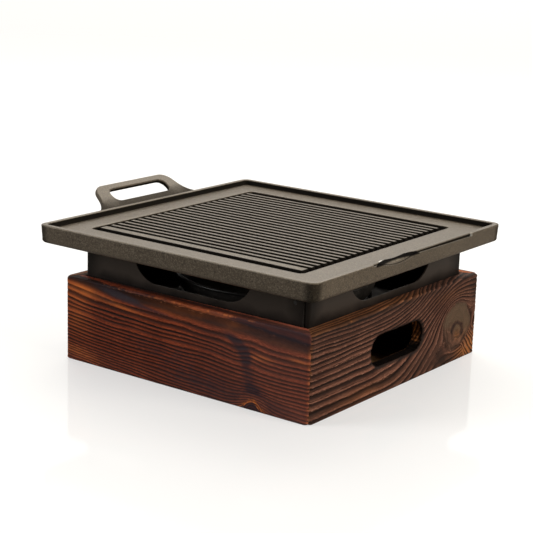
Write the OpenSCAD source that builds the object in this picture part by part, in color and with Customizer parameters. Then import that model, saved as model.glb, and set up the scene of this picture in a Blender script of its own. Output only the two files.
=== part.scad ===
// Square table-top hibachi: a charred-pine frame carries a black sheet-metal
// firebox with a fuel bowl, and a ribbed cast grill plate rests on top.
// Units are millimetres. +Z is up, the plate's handle points to -X and its
// pouring lip is on +X. The origin is the centre of the frame's underside.

/* [Wooden frame] */
// Outer width of the square frame
frame_w = 193; // [188:1:204]
// Height of the boards
frame_h = 55; // [52:1:60]
// Thickness of each board
board_t = 9; // [8.5:0.5:11]
// Radius on the frame's upright corners
frame_corner_r = 3.4; // [2:0.2:5]
// Radius along the boards' outer top edge
board_edge_r = 1.2; // [0.6:0.2:2]
// Length of the finger slot in each side board
slot_len = 60; // [50:1:80]
// Height of the finger slot
slot_h = 20.4; // [16:0.2:20.8]
// Height of the finger slot's middle above the table
slot_z = 28.1; // [26:0.1:28.4]
// Distance of the finger slot from the middle of its board
slot_shift = 1.9; // [-4:0.1:4]
// Width of the square corner posts glued inside the frame
post_w = 12; // [10:1:16]
// Thickness of the bottom panel
panel_t = 4; // [3:0.5:6]

/* [Firebox] */
// Sheet thickness of the firebox
sheet_t = 1; // [0.8:0.1:1.2]
// Gap between the firebox and the boards
box_gap = 0.5; // [0.4:0.1:1]
// Height of the firebox underside above the table
box_z = 39; // [38:0.5:41]
// Height of the firebox's top edge above the frame
box_rise = 25.3; // [25:0.1:26.2]
// Height of a window's sill above the frame
sill_rise = 4.3; // [3:0.1:6]
// Half the width of a window's flat sill
sill_half = 27; // [20:1:30]
// Distance of the side windows from the middle of their walls
window_shift = 1.6; // [-3:0.1:3]
// Radius of a window's lower corners
window_r = 20; // [16:1:20]

/* [Fuel bowl] */
// Outer radius of the bowl's mouth
bowl_r = 65; // [60:1:66]
// Height of the bowl
bowl_h = 17; // [14:1:19]
// Wall thickness of the bowl
bowl_t = 1.2; // [1:0.1:1.6]

/* [Grill plate] */
// Outer width of the square plate
plate_w = 214; // [210:1:220]
// Height of the plate from the skirt's lower edge to the rim
plate_h = 11.9; // [11:0.1:13]
// Height of the rim above the frame
rim_rise = 33.6; // [33.4:0.1:34]
// How far the plate lies off the middle towards the handle
plate_dx = 1.4; // [-2:0.1:2]
// How far the plate lies off the middle towards the front
plate_dy = 1.6; // [-2:0.1:2]
// Width of the rim
rim_w = 3.6; // [3:0.2:5]
// Depth of the plate's surface below the rim
dish = 3.5; // [3.2:0.1:3.8]
// Depth of the grooves between the ribs
groove_d = 2.5; // [2:0.1:2.6]
// Spacing of the ribs
rib_pitch = 6.45; // [6.4:0.01:6.5]
// Width of a rib
rib_w = 3.8; // [3:0.1:4.4]
// Lean of the skirt's outer faces in degrees
draft = 3; // [2:0.5:5]
// Radius of the skirt's lower edge
skirt_edge_r = 2.5; // [1.5:0.5:3]

/* [Handle] */
// How far the handle reaches out along its slope
handle_reach = 22.3; // [21:0.1:28]
// Width of the handle
handle_w = 77; // [70:1:90]
// Slope of the handle in degrees
handle_tilt = 32; // [20:1:34]
// Thickness of the handle
handle_t = 3.2; // [3:0.1:4]
// Width of the bar that fingers close around
handle_bar = 5.2; // [3.6:0.1:6]

/* [Hidden] */
$fn = 64;
fw = frame_w / 2;
inner = fw - board_t;
box = inner - box_gap;
box_in = box - sheet_t;
box_top = frame_h + box_rise;
floor_top = box_z + sheet_t;
bend_r = 2;
seam_w = 3.5;
tab_len = 12;
pw = plate_w / 2;
rim_top = frame_h + rim_rise;
skirt_z = rim_top - plate_h;
deck = rim_top - dish;
groove_z = deck - groove_d;
flange_h = 10;
rivet_r = 1.2;
seam_rivet_z = [box_z + 8, box_top - 12];
flange_rivet_x = [-40, 40];
post_c = inner - post_w / 2;
rib_x0 = -83;
rib_x1 = 76.5;
well_x0 = -85;
well_x1 = 80.2;
well_y0 = -81.8;
well_y1 = 85.6;
well_r = 3.5;
first_rib = 77.2;
wide_rib_y0 = -76.5;
wide_rib_y1 = -69.2;
rib_count = 23;
eps = 0.01;

module rounded_square(w, r) {
    square([w - 2 * r, w], center = true);
    square([w, w - 2 * r], center = true);
    for (x = [-1, 1], y = [-1, 1]) translate([x * (w / 2 - r), y * (w / 2 - r)]) circle(r = r);
}

// A board lies along X on the -Y side; both ends are mitred.
module board(slotted) {
    difference() {
        intersection() {
            linear_extrude(frame_h)
                polygon([[-fw, -fw], [fw, -fw], [inner, -inner], [-inner, -inner]]);
            linear_extrude(frame_h) rounded_square(frame_w, frame_corner_r);
        }
        translate([0, -fw + board_edge_r, frame_h - board_edge_r]) difference() {
            translate([-fw - 1, -board_edge_r - 1, 0]) cube([frame_w + 2, board_edge_r + 1, board_edge_r + 1]);
            rotate([0, 90, 0]) cylinder(r = board_edge_r, h = frame_w + 4, center = true);
        }
        if (slotted) translate([-slot_shift, -fw - 1, slot_z]) rotate([-90, 0, 0]) {
            for (x = [-1, 1]) translate([x * (slot_len - slot_h) / 2, 0, 0]) cylinder(d = slot_h, h = board_t + 2);
            translate([-(slot_len - slot_h) / 2, -slot_h / 2, 0]) cube([slot_len - slot_h, slot_h, board_t + 2]);
        }
    }
}

module post(sx, sy) {
    translate([sx * post_c, sy * post_c, panel_t]) difference() {
        translate([-post_w / 2, -post_w / 2, 0]) cube([post_w, post_w, box_z - panel_t]);
        translate([0, 0, -1]) cylinder(d = 3.2, h = 17);
    }
}

module frame_front_board() { color([0.36, 0.16, 0.08]) board(false); }
module frame_rear_board() { color([0.36, 0.16, 0.08]) rotate([0, 0, 180]) board(false); }
module frame_right_board() { color([0.34, 0.2, 0.12]) rotate([0, 0, 90]) board(true); }
module frame_left_board() { color([0.34, 0.2, 0.12]) rotate([0, 0, -90]) board(true); }

module corner_post_front_left() { color([0.6, 0.42, 0.24]) post(-1, -1); }
module corner_post_front_right() { color([0.6, 0.42, 0.24]) post(1, -1); }
module corner_post_rear_left() { color([0.6, 0.42, 0.24]) post(-1, 1); }
module corner_post_rear_right() { color([0.6, 0.42, 0.24]) post(1, 1); }

module base_panel() {
    color([0.55, 0.38, 0.22]) difference() {
        translate([-inner, -inner, 0]) cube([2 * inner, 2 * inner, panel_t]);
        for (x = [-1, 1], y = [-1, 1]) translate([x * post_c, y * post_c, 0]) {
            translate([0, 0, -1]) cylinder(d = 3.4, h = panel_t + 2);
            translate([0, 0, -eps]) cylinder(d1 = 7.4, d2 = 3.4, h = 2.2);
        }
    }
}

// Countersunk wood screws driven up through the panel into the posts.
module base_panel_screws() {
    color([0.72, 0.72, 0.7]) for (x = [-1, 1], y = [-1, 1]) translate([x * post_c, y * post_c, 0]) difference() {
        union() {
            translate([0, 0, 0.2]) cylinder(d1 = 6.8, d2 = 3, h = 1.9);
            translate([0, 0, 2]) cylinder(d = 3, h = 14);
            translate([0, 0, 16 - eps]) cylinder(d1 = 3, d2 = 0.6, h = 2.6);
        }
        for (a = [0, 90]) rotate([0, 0, a]) translate([-2, -0.35, 0]) cube([4, 0.7, 1]);
    }
}

module window_cut(depth) {
    rotate([90, 0, 0]) translate([0, 0, -depth / 2]) linear_extrude(depth) translate([0, frame_h + sill_rise]) {
        translate([-sill_half, 0]) square([2 * sill_half, 60]);
        translate([-sill_half - window_r, window_r]) square([2 * (sill_half + window_r), 60]);
        for (x = [-1, 1]) translate([x * sill_half, window_r]) circle(r = window_r);
    }
}

module quarter_bend(r_out, h) {
    intersection() {
        difference() {
            cylinder(r = r_out, h = h);
            translate([0, 0, -1]) cylinder(r = r_out - sheet_t, h = h + 2);
        }
        translate([-r_out - 1, -r_out - 1, 0]) cube([r_out + 1, r_out + 1, h]);
    }
}

// One L-shaped half: a wall on -Y, a bend at (-X, -Y), a wall on -X, and a
// set-back bend and tab that slip behind the other half at (-X, +Y).
module shell_half() {
    h = box_top - box_z;
    tab_z = 1.3;
    difference() {
        union() {
            translate([-box + bend_r, -box, box_z]) cube([2 * box - bend_r - seam_w, sheet_t, h]);
            translate([-box + bend_r, -box + bend_r, box_z]) quarter_bend(bend_r, h);
            translate([-box, -box + bend_r, box_z]) cube([sheet_t, 2 * box - 2 * bend_r - sheet_t, h]);
            translate([-box + bend_r, box - sheet_t - bend_r, box_z + tab_z]) mirror([0, 1, 0]) quarter_bend(bend_r, h - tab_z);
            translate([-box + bend_r, box - 2 * sheet_t, box_z + tab_z]) cube([tab_len, sheet_t, h - tab_z]);
        }
        translate([0, -box, 0]) window_cut(8);
        translate([-box, -window_shift, 0]) rotate([0, 0, 90]) window_cut(8);
        for (z = seam_rivet_z) {
            translate([box - seam_w - 6, -box, z]) rotate([90, 0, 0]) cylinder(r = rivet_r + 0.1, h = 6, center = true);
            translate([-box + seam_w + 6, box, z]) rotate([90, 0, 0]) cylinder(r = rivet_r + 0.1, h = 6, center = true);
        }
        for (x = flange_rivet_x) {
            translate([x, -box, box_z + 7]) rotate([90, 0, 0]) cylinder(r = rivet_r + 0.1, h = 6, center = true);
            translate([-box, x, box_z + 7]) rotate([0, 90, 0]) cylinder(r = rivet_r + 0.1, h = 6, center = true);
        }
    }
}

module firebox_front_half() { color([0.13, 0.12, 0.11]) shell_half(); }
module firebox_rear_half() { color([0.13, 0.12, 0.11]) rotate([0, 0, 180]) shell_half(); }

module firebox_floor() {
    color([0.13, 0.12, 0.11]) difference() {
        union() {
            translate([0, 0, box_z]) linear_extrude(sheet_t) rounded_square(2 * box_in, 3);
            for (a = [0 : 90 : 270]) rotate([0, 0, a])
                translate([-60, -box_in, floor_top - eps]) cube([120, sheet_t, flange_h]);
            for (a = [45 : 90 : 315]) rotate([0, 0, a])
                translate([bowl_r - 3, -5, floor_top - eps]) cube([sheet_t, 10, 6]);
        }
        for (a = [0 : 90 : 270], x = flange_rivet_x) rotate([0, 0, a])
            translate([x, -box_in, box_z + 7]) rotate([90, 0, 0]) cylinder(r = rivet_r + 0.1, h = 6, center = true);
    }
}

// Flush rivets: the shank runs through two sheets and the head is inside.
module rivet() {
    rotate([90, 0, 0]) {
        cylinder(r = rivet_r, h = 2 * sheet_t);
        translate([0, 0, -0.8]) cylinder(r1 = 1.7, r2 = 2.4, h = 0.8);
    }
}

module firebox_rivets() {
    color([0.2, 0.19, 0.18]) {
        for (a = [0 : 90 : 270], x = flange_rivet_x) rotate([0, 0, a])
            translate([x, -box + 2 * sheet_t, box_z + 7]) rivet();
        for (a = [0, 180], z = seam_rivet_z) rotate([0, 0, a])
            translate([box - seam_w - 6, -box + 2 * sheet_t, z]) rivet();
    }
}

// A shallow bowl whose flank is a quarter round; off shrinks it inwards.
module bowl_section(off) {
    translate([bowl_r - bowl_h, bowl_h]) intersection() {
        circle(r = bowl_h - off);
        translate([-1, -bowl_h]) square([bowl_h + 1, bowl_h]);
    }
    translate([0, off]) square([bowl_r - bowl_h, bowl_h - off]);
}

module fuel_bowl() {
    color([0.17, 0.16, 0.15]) translate([0, 0, floor_top]) rotate_extrude() {
        difference() {
            bowl_section(0);
            bowl_section(bowl_t);
            translate([0, bowl_h - 0.02]) square([bowl_r - bowl_t - 0.02, 1]);
        }
        translate([bowl_r - 0.2, bowl_h]) circle(r = 1.1);
    }
}

// The sides lean in from two root fillets to two rounded outer corners.
module handle_outline() {
    lean = 17;
    out_r = 10;
    straight = 4.2;
    half = handle_w / 2;
    corner_s = handle_reach - out_r;
    corner_y = half - out_r * cos(lean);
    s2 = corner_s + out_r * sin(lean);
    s1 = s2 - straight;
    y1 = half + straight * tan(lean);
    root_r = (s1 + 0.3) / (1 - sin(lean));
    root_s = s1 + root_r * sin(lean);
    root_y = y1 + root_r * cos(lean);
    difference() {
        union() {
            translate([-handle_reach, -corner_y]) square([handle_reach, 2 * corner_y]);
            for (y = [-1, 1]) translate([-corner_s, y * corner_y]) circle(r = out_r);
            polygon([[-s2, -half], [-s1, -y1], [-s1, y1], [-s2, half]]);
            difference() {
                translate([-s1, -root_y]) square([s1 + 2.4, 2 * root_y]);
                for (y = [-1, 1]) translate([-root_s, y * root_y]) circle(r = root_r);
            }
        }
        hr = 4.8;
        hx0 = -handle_reach + handle_bar;
        hx1 = -5.9;
        hy = half - 10.5;
        translate([0, 0.6]) {
            translate([hx0 + hr, -hy]) square([hx1 - hx0 - 2 * hr, 2 * hy]);
            translate([hx0, -hy + hr]) square([hx1 - hx0, 2 * hy - 2 * hr]);
            for (x = [hx0 + hr, hx1 - hr], y = [-1, 1]) translate([x, y * (hy - hr)]) circle(r = hr);
        }
    }
}

module plate_blank() {
    inset = plate_h * tan(draft);
    lift = skirt_edge_r * (1 - sin(draft));
    cx = pw - (plate_h - skirt_edge_r) * tan(draft) - skirt_edge_r / cos(draft);
    difference() {
        translate([0, 0, skirt_z]) linear_extrude(plate_h) rounded_square(plate_w, 5.2);
        for (a = [0 : 90 : 270]) rotate([0, 0, a]) {
            translate([pw, 0, rim_top]) rotate([0, draft, 0]) translate([0, -plate_w, -40]) cube([20, 2 * plate_w, 60]);
            translate([cx, 0, skirt_z + skirt_edge_r]) difference() {
                translate([0, -plate_w, -skirt_edge_r - 1]) cube([skirt_edge_r + 3, 2 * plate_w, 1 + lift]);
                rotate([90, 0, 0]) cylinder(r = skirt_edge_r, h = 2 * plate_w + 4, center = true);
            }
        }
        // dish inside the rim
        translate([0, 0, deck]) linear_extrude(dish + 1) rounded_square(plate_w - 2 * rim_w, 3);
        // well that holds the ribs
        translate([(well_x0 + well_x1) / 2, (well_y0 + well_y1) / 2, groove_z]) linear_extrude(groove_d + 1) {
            wx = well_x1 - well_x0;
            wy = well_y1 - well_y0;
            square([wx - 2 * well_r, wy], center = true);
            square([wx, wy - 2 * well_r], center = true);
            for (x = [-1, 1], y = [-1, 1])
                translate([x * (wx / 2 - well_r), y * (wy / 2 - well_r)]) circle(r = well_r);
        }
        // hollow underside
        translate([0, 0, skirt_z - 1]) linear_extrude(box_top - skirt_z + 1) rounded_square(plate_w - 9.8, 3);
        // shallow step along the pouring side of the rim
        translate([pw - 0.8, -47, rim_top - 1]) rotate([-0.55, 0, 0]) cube([4, 115, 6]);
        // pouring lip
        translate([pw + 61.5, -20.5, rim_top - 4.6]) cylinder(r1 = 61.4, r2 = 66.8, h = 5.4, $fn = 96);
    }
}

module grill_plate() {
    color([0.4, 0.38, 0.35]) translate([-plate_dx, -plate_dy, 0]) {
        plate_blank();
        // narrow ribs, then one wide rib beside the front border
        for (k = [0 : rib_count - 1])
            translate([rib_x0, first_rib - k * rib_pitch - rib_w / 2, groove_z - 0.2])
                cube([rib_x1 - rib_x0, rib_w, groove_d + 0.2]);
        translate([rib_x0, wide_rib_y0, groove_z - 0.2])
            cube([rib_x1 - rib_x0, wide_rib_y1 - wide_rib_y0, groove_d + 0.2]);
        // studs that keep the plate centred on the firebox
        for (x = [-1, 1], y = [-1, 1]) translate([x * 77, y * 77, skirt_z + 0.3])
            cylinder(r = 4, h = box_top - skirt_z);
        // handle
        translate([-pw, 0.4, rim_top - 0.8]) rotate([0, handle_tilt, 0]) translate([0, 0, -handle_t])
            linear_extrude(handle_t) handle_outline();
    }
}

frame_front_board();
frame_rear_board();
frame_left_board();
frame_right_board();
corner_post_front_left();
corner_post_front_right();
corner_post_rear_left();
corner_post_rear_right();
base_panel();
base_panel_screws();
firebox_front_half();
firebox_rear_half();
firebox_floor();
firebox_rivets();
fuel_bowl();
grill_plate();
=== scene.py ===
import math

import bpy
import numpy as np
from mathutils import Matrix, Vector


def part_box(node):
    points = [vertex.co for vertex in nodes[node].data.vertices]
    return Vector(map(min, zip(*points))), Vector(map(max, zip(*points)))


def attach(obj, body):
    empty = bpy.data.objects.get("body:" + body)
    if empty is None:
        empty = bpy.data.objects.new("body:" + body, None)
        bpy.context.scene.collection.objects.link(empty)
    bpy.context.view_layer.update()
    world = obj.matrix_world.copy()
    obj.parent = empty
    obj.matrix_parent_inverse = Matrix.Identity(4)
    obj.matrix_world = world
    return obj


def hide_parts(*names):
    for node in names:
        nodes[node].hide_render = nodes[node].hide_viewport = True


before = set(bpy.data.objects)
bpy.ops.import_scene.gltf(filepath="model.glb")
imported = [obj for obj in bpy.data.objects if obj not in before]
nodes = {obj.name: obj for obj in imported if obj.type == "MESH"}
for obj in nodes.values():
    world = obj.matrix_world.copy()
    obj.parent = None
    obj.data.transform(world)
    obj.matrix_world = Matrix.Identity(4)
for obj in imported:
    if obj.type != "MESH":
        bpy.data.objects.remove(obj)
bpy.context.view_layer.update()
MM = 0.001

# ---------------------------------------------------------------- numbers
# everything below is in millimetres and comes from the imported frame
b_lo, b_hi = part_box("frame_front_board")
FRAME_Y = -b_lo.y / MM                    # outer face of a board
BOARD_T = (b_hi.y - b_lo.y) / MM          # board thickness
BOARD_H = b_hi.z / MM                     # board height
MITRE = b_hi.x / MM                       # half length along the outer face
CORNER_R = (FRAME_Y - MITRE) / (1 - math.sqrt(0.5))
p_lo, p_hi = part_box("grill_plate")
PW = (p_hi.y - p_lo.y) / MM / 2           # half width of the plate
PCX = p_hi.x / MM - PW
PCY = (p_lo.y + p_hi.y) / MM / 2
SKIRT_Z = p_lo.z / MM
RIM_Z = SKIRT_Z + 11.9
DECK_Z = RIM_Z - 3.5
f_lo, f_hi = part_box("firebox_front_half")
BOX_TOP = f_hi.z / MM


# ---------------------------------------------------------------- noise
def _hash(ix, iy, seed):
    n = (ix.astype(np.int64) * 374761393 + iy.astype(np.int64) * 668265263 + seed * 974634777) & 0xFFFFFFFF
    n = ((n ^ (n >> 13)) * 1274126177) & 0xFFFFFFFF
    n = ((n ^ (n >> 16)) * 2246822519) & 0xFFFFFFFF
    return ((n ^ (n >> 15)) & 0xFFFFFF) / float(0xFFFFFF)


def vnoise(x, y, seed=0):
    """Smooth value noise from -1 to 1."""
    x, y = np.broadcast_arrays(np.asarray(x, float), np.asarray(y, float))
    ix, iy = np.floor(x), np.floor(y)
    fx, fy = x - ix, y - iy
    fx, fy = fx * fx * fx * (fx * (fx * 6 - 15) + 10), fy * fy * fy * (fy * (fy * 6 - 15) + 10)
    a, b = _hash(ix, iy, seed), _hash(ix + 1, iy, seed)
    c, d = _hash(ix, iy + 1, seed), _hash(ix + 1, iy + 1, seed)
    return (a * (1 - fx) + b * fx) * (1 - fy) * 2 + (c * (1 - fx) + d * fx) * fy * 2 - 1


def fbm(x, y, seed=0, octaves=3):
    total, amp, norm = 0.0, 1.0, 0.0
    for k in range(octaves):
        total = total + amp * vnoise(x * 2.03 ** k, y * 2.03 ** k, seed + 17 * k)
        norm += amp
        amp *= 0.5
    return total / norm


def smooth(a, b, x):
    t = np.clip((x - a) / (b - a), 0, 1)
    return t * t * (3 - 2 * t)


def blob(x, z, x0, z0, rx, rz, angle=0.0):
    c, s = math.cos(math.radians(angle)), math.sin(math.radians(angle))
    u, v = (x - x0) * c + (z - z0) * s, -(x - x0) * s + (z - z0) * c
    return np.exp(-((u / rx) ** 2 + (v / rz) ** 2))


# ---------------------------------------------------------------- mesh helpers
def mesh_object(name, verts_mm, faces, material=None, smooth_shade=True, attrs=None, face_mats=None):
    me = bpy.data.meshes.new(name)
    me.from_pydata((np.asarray(verts_mm, float) * MM).tolist(), [], faces if isinstance(faces, list) else faces.tolist())
    me.validate()
    me.update()
    for key, values in (attrs or {}).items():
        layer = me.attributes.new(key, "FLOAT", "POINT")
        layer.data.foreach_set("value", np.asarray(values, np.float32))
    if smooth_shade:
        me.polygons.foreach_set("use_smooth", np.ones(len(me.polygons), bool))
    o = bpy.data.objects.new(name, me)
    bpy.context.scene.collection.objects.link(o)
    for m in (material if isinstance(material, (list, tuple)) else [material]):
        if m is not None:
            me.materials.append(m)
    if face_mats is not None:
        me.polygons.foreach_set("material_index", np.asarray(face_mats, np.int32))
    return o


def apply_modifiers(o):
    dg = bpy.context.evaluated_depsgraph_get()
    me = bpy.data.meshes.new_from_object(o.evaluated_get(dg), preserve_all_data_layers=True, depsgraph=dg)
    o.modifiers.clear()
    old = o.data
    o.data = me
    me.name = o.name
    bpy.data.meshes.remove(old)


def sharp_by_angle(o, degrees):
    """Smooth shading with edges steeper than the angle kept crisp."""
    me = o.data
    import bmesh
    bm = bmesh.new()
    bm.from_mesh(me)
    limit = math.radians(degrees)
    for f in bm.faces:
        f.smooth = True
    for e in bm.edges:
        e.smooth = not (len(e.link_faces) != 2 or e.calc_face_angle(0.0) > limit)
    bm.to_mesh(me)
    bm.free()


# ---------------------------------------------------------------- shader helpers
class Tree:
    def __init__(self, name):
        self.m = bpy.data.materials.new(name)
        self.m.use_nodes = True
        self.t = self.m.node_tree
        self.t.nodes.clear()
        self.out = self.t.nodes.new("ShaderNodeOutputMaterial")
        self.bsdf = self.t.nodes.new("ShaderNodeBsdfPrincipled")
        self.t.links.new(self.bsdf.outputs["BSDF"], self.out.inputs["Surface"])

    def put(self, socket, value):
        if isinstance(value, bpy.types.NodeSocket):
            self.t.links.new(value, socket)
        elif hasattr(socket.default_value, "__len__") and not hasattr(value, "__len__"):
            socket.default_value = [value] * len(socket.default_value)
        else:
            socket.default_value = value

    def add(self, kind, inputs=None, **props):
        n = self.t.nodes.new(kind)
        for k, v in props.items():
            setattr(n, k, v)
        for k, v in (inputs or {}).items():
            self.put(n.inputs[k], v)
        return n

    def math(self, op, a, b=0.0, c=0.0, clamp=False):
        n = self.add("ShaderNodeMath", {0: a, 1: b, 2: c}, operation=op)
        n.use_clamp = clamp
        return n.outputs[0]

    def mix(self, fac, a, b, blend="MIX"):
        n = self.t.nodes.new("ShaderNodeMix")
        n.data_type = "RGBA"
        n.blend_type = blend
        n.clamp_factor = True
        self.put(n.inputs[0], fac)
        self.put(n.inputs[6], a)
        self.put(n.inputs[7], b)
        return n.outputs[2]

    def ramp(self, fac, stops, mode="LINEAR"):
        n = self.add("ShaderNodeValToRGB", {0: fac})
        cr = n.color_ramp
        cr.interpolation = mode
        while len(cr.elements) < len(stops):
            cr.elements.new(0.5)
        for e, (pos, col) in zip(cr.elements, stops):
            e.position = pos
            e.color = (col, col, col, 1) if isinstance(col, (int, float)) else (*col, 1)
        return n.outputs[0]

    def noise(self, vector, scale, detail=4.0, rough=0.55, distortion=0.0, dims="3D"):
        n = self.add("ShaderNodeTexNoise", {"Scale": scale, "Detail": detail, "Roughness": rough,
                                           "Distortion": distortion}, noise_dimensions=dims)
        if vector is not None:
            self.put(n.inputs["Vector"], vector)
        return n.outputs["Fac"]

    def coords(self, scale=(1, 1, 1), rotation=(0, 0, 0)):
        tc = self.add("ShaderNodeTexCoord")
        mp = self.add("ShaderNodeMapping", {"Vector": tc.outputs["Object"], "Scale": scale, "Rotation": rotation})
        return mp.outputs[0]

    def attr(self, name):
        return self.add("ShaderNodeAttribute", attribute_name=name, attribute_type="GEOMETRY").outputs["Fac"]

    def bump(self, height, strength, distance, normal=None):
        ins = {"Height": height, "Strength": strength, "Distance": distance}
        if normal is not None:
            ins["Normal"] = normal
        return self.add("ShaderNodeBump", ins).outputs[0]

    def set(self, **kw):
        for k, v in kw.items():
            self.put(self.bsdf.inputs[k.replace("_", " ")], v)


def charred_wood(name, ridge_a, ridge_b, line, warm, char, grey, seed, slick=0.16, hairlines=False):
    """Wire-brushed, scorched pine: everything follows the mesh's own ring coordinate."""
    t = Tree(name)
    ring, along = t.attr("ring"), t.attr("along")
    tone, warm_m, grey_m, inside = t.attr("tone"), t.attr("warm"), t.attr("grey"), t.attr("inside")
    # fibre coordinates: long along the grain, short across it
    fib = t.add("ShaderNodeCombineXYZ", {0: t.math("MULTIPLY", along, 0.035), 1: t.math("MULTIPLY", ring, 2.6), 2: float(seed)}).outputs[0]
    fibre = t.noise(fib, 2.4, 6.0, 0.62)
    fib2 = t.add("ShaderNodeCombineXYZ", {0: t.math("MULTIPLY", along, 0.16), 1: t.math("MULTIPLY", ring, 7.0), 2: float(seed) + 3}).outputs[0]
    fine = t.noise(fib2, 2.2, 5.0, 0.6)
    wob = t.math("MULTIPLY", t.math("SUBTRACT", fibre, 0.5), 0.34)
    ring_w = t.math("ADD", ring, wob)
    f = t.math("FRACT", ring_w)
    which = t.add("ShaderNodeTexWhiteNoise", {"W": t.math("FLOOR", t.math("ADD", ring_w, 0.12))}, noise_dimensions="1D").outputs["Value"]
    # position in the ring: a dark brushed-out line, then a ridge that darkens again
    if hairlines:
        band = t.ramp(f, [(0.0, 0.05), (0.05, 0.0), (0.31, 0.0), (0.39, 0.72), (0.46, 1.0), (0.56, 0.80), (0.72, 0.55), (0.86, 0.28), (1.0, 0.05)])
    else:
        band = t.ramp(f, [(0.0, 0.05), (0.05, 0.0), (0.34, 0.0), (0.43, 0.72), (0.52, 1.0), (0.66, 0.86), (0.85, 0.36), (1.0, 0.05)])
    depth = t.math("ADD", 0.78, t.math("MULTIPLY", which, 0.22))
    depth = t.math("MULTIPLY", depth, t.math("SUBTRACT", 1.0, t.math("MULTIPLY", t.ramp(grey_m, [(0.25, 0.0), (0.8, 1.0)]), 0.75)))
    depth = t.math("MULTIPLY", depth, t.math("SUBTRACT", 1.0, t.attr("fade")))
    band = t.math("ADD", t.math("MULTIPLY", band, depth), t.math("MULTIPLY", t.math("SUBTRACT", 1.0, depth), 0.55))
    mottle = t.noise(t.coords((1, 1, 1)), 55.0, 4.0, 0.55)
    ridge = t.mix(t.ramp(mottle, [(0.36, 0.0), (0.64, 1.0)]), (*ridge_a, 1), (*ridge_b, 1))
    ridge = t.mix(t.math("MULTIPLY", which, 0.38), ridge, (*[c * 0.58 for c in ridge_a], 1))
    ridge = t.mix(t.math("MULTIPLY", t.ramp(fibre, [(0.36, 1.0), (0.58, 0.0)]), 0.55), ridge, (*[c * 0.30 for c in ridge_b], 1))
    col = t.mix(band, (*line, 1), ridge)
    col = t.mix(t.math("MULTIPLY", t.ramp(fine, [(0.40, 1.0), (0.56, 0.0)]), 0.50), col, (*[c * 1.1 for c in line], 1))
    # brushed-up fibres catch the light beside the dark lines
    if hairlines:
        f2 = t.math("FRACT", t.math("MULTIPLY", ring_w, 2.63))
        w2 = t.add("ShaderNodeTexWhiteNoise", {"W": t.math("FLOOR", t.math("MULTIPLY", ring_w, 2.63))}, noise_dimensions="1D").outputs["Value"]
        thin = t.math("MULTIPLY", t.ramp(f2, [(0.0, 0.0), (0.10, 1.0), (0.20, 1.0), (0.32, 0.0)]), t.ramp(w2, [(0.25, 0.0), (0.8, 0.85)]))
        thin = t.math("MULTIPLY", thin, t.math("SUBTRACT", 1.0, grey_m))
        col = t.mix(thin, col, (*line, 1))
    hair = t.math("MULTIPLY", t.ramp(fine, [(0.55, 0.0), (0.68, 1.0)]), t.ramp(f, [(0.22, 0.0), (0.32, 1.0), (0.48, 0.35), (0.75, 0.0)]))
    col = t.mix(t.math("MULTIPLY", hair, 0.75 if hairlines else 0.45), col, (*[min(0.8, c * 2.6 + 0.04) for c in ridge_a], 1))
    # scorched clouds, with painted shade where the tone attribute carries it, warm patches where the char is brushed
    # off, grey knots
    wn = t.noise(t.coords((1, 1, 1)), 140.0, 5.0, 0.62)
    warm_f = t.math("MULTIPLY", warm_m, t.ramp(t.math("ADD", t.math("MULTIPLY", wn, 0.55), t.math("MULTIPLY", band, 0.45)), [(0.28, 0.35), (0.62, 1.0)]))
    col = t.mix(warm_f, col, t.mix(band, (*[c * 0.38 for c in warm], 1), (*warm, 1)))
    grey_f = t.math("MULTIPLY", grey_m, t.ramp(fine, [(0.25, 0.6), (0.7, 1.0)]))
    col = t.mix(grey_f, col, t.mix(band, (*[c * 0.62 for c in grey], 1), (*grey, 1)))
    cloud = t.math("ADD", tone, t.math("MULTIPLY", t.math("SUBTRACT", wn, 0.5), t.math("MULTIPLY", t.ramp(tone, [(0.0, 0.0), (0.3, 1.0)]), 0.7)))
    cloud = t.ramp(cloud, [(0.10, 0.0), (0.62, 0.97)])
    char_c = t.mix(t.math("MULTIPLY", band, 0.16), (*char, 1), ridge)
    col = t.mix(cloud, col, char_c)
    # sawn openings go near black: char at their edges, painted shade on the walls deeper in
    char_and_shade = t.math("MULTIPLY", t.math("SUBTRACT", tone, 1.12), 6.0, clamp=True)
    col = t.mix(t.math("MULTIPLY", char_and_shade, 0.93), col, (0.0022, 0.0016, 0.0014, 1))
    # the unseen inside of the frame is barely scorched
    col = t.mix(t.math("MULTIPLY", inside, 0.8), col, t.mix(band, (0.10, 0.045, 0.018, 1), (0.235, 0.115, 0.048, 1)))
    rough = t.math("ADD", 0.60, t.math("MULTIPLY", t.math("SUBTRACT", fine, 0.5), 0.35))
    h = t.math("ADD", t.math("MULTIPLY", fine, 0.6), t.math("MULTIPLY", fibre, 0.4))
    nrm = t.bump(h, 0.55, 0.00045)
    pores = t.noise(t.coords((1, 1, 1)), 900.0, 2.0, 0.5)
    nrm = t.bump(pores, 0.18, 0.0002, nrm)
    t.set(Base_Color=col, Roughness=rough, Specular_IOR_Level=slick, Normal=nrm)
    return t.m


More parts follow.
